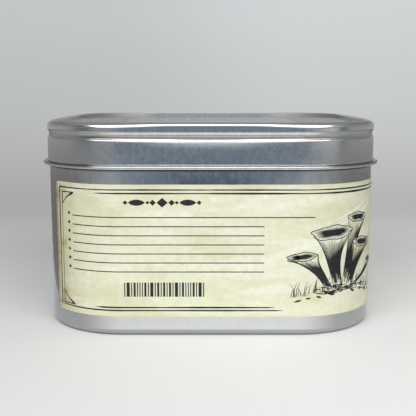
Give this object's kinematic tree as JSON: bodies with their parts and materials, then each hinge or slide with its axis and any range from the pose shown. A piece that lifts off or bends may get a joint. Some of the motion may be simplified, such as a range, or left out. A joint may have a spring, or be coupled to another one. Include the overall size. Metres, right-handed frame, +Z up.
{
  "type": "square slip-lid tin with a wrap label",
  "caption": "Rounded-square tinplate tin with a recessed-panel slip lid and a parchment-coloured paper label wrapped round its wall.",
  "frame": {"origin": "middle of the face that the tin stands on", "axes": "+Z up out of the lid, -Y out of the side seen in the picture, -X out of the bare side between the label's ends"},
  "size_m": [0.111, 0.111, 0.0664],
  "materials": {
    "tinplate_body": "bright tinplate with a faint vertical grain",
    "tinplate_lid": "bright tinplate with a faint vertical grain",
    "label_paper": "matt uncoated paper"
  },
  "bodies": {
    "root": {"tin_body": "tinplate_body", "tin_lid": "tinplate_lid", "wrap_label": "label_paper"}
  },
  "joints": []
}
